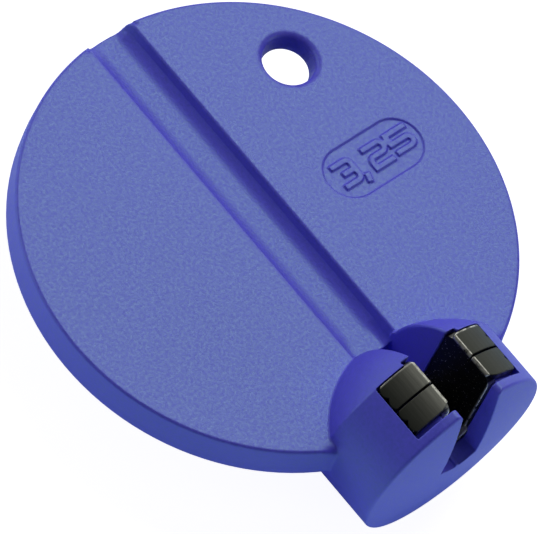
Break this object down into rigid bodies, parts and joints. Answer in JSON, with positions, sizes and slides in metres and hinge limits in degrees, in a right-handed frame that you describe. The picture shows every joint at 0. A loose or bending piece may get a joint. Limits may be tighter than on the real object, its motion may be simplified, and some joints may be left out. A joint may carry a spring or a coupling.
{
  "type": "spoke wrench",
  "caption": "Round thumb-disc spoke wrench: moulded disc with a spoke channel and lanyard hole, and a drum-shaped head with an open slot lined by a bent steel jaw.",
  "frame": {"origin": "on the ground plane under the middle of the part: the lowest line of the drum is at z = 0, and the middle of the overall length and width is at x = y = 0", "axes": "+Z out of the disc face that has the spoke channel, +Y along the channel away from the head, +X towards the lanyard hole's side"},
  "size_m": [0.048, 0.0522, 0.0199],
  "materials": {
    "blue_nylon": "moulded nylon, fine satin texture",
    "blackened_steel": "hardened sheet steel, blackened, faintly brushed, worn bright on its inner edges"
  },
  "bodies": {
    "root": {"moulded_body": "blue_nylon", "jaw_insert": "blackened_steel"}
  },
  "joints": []
}
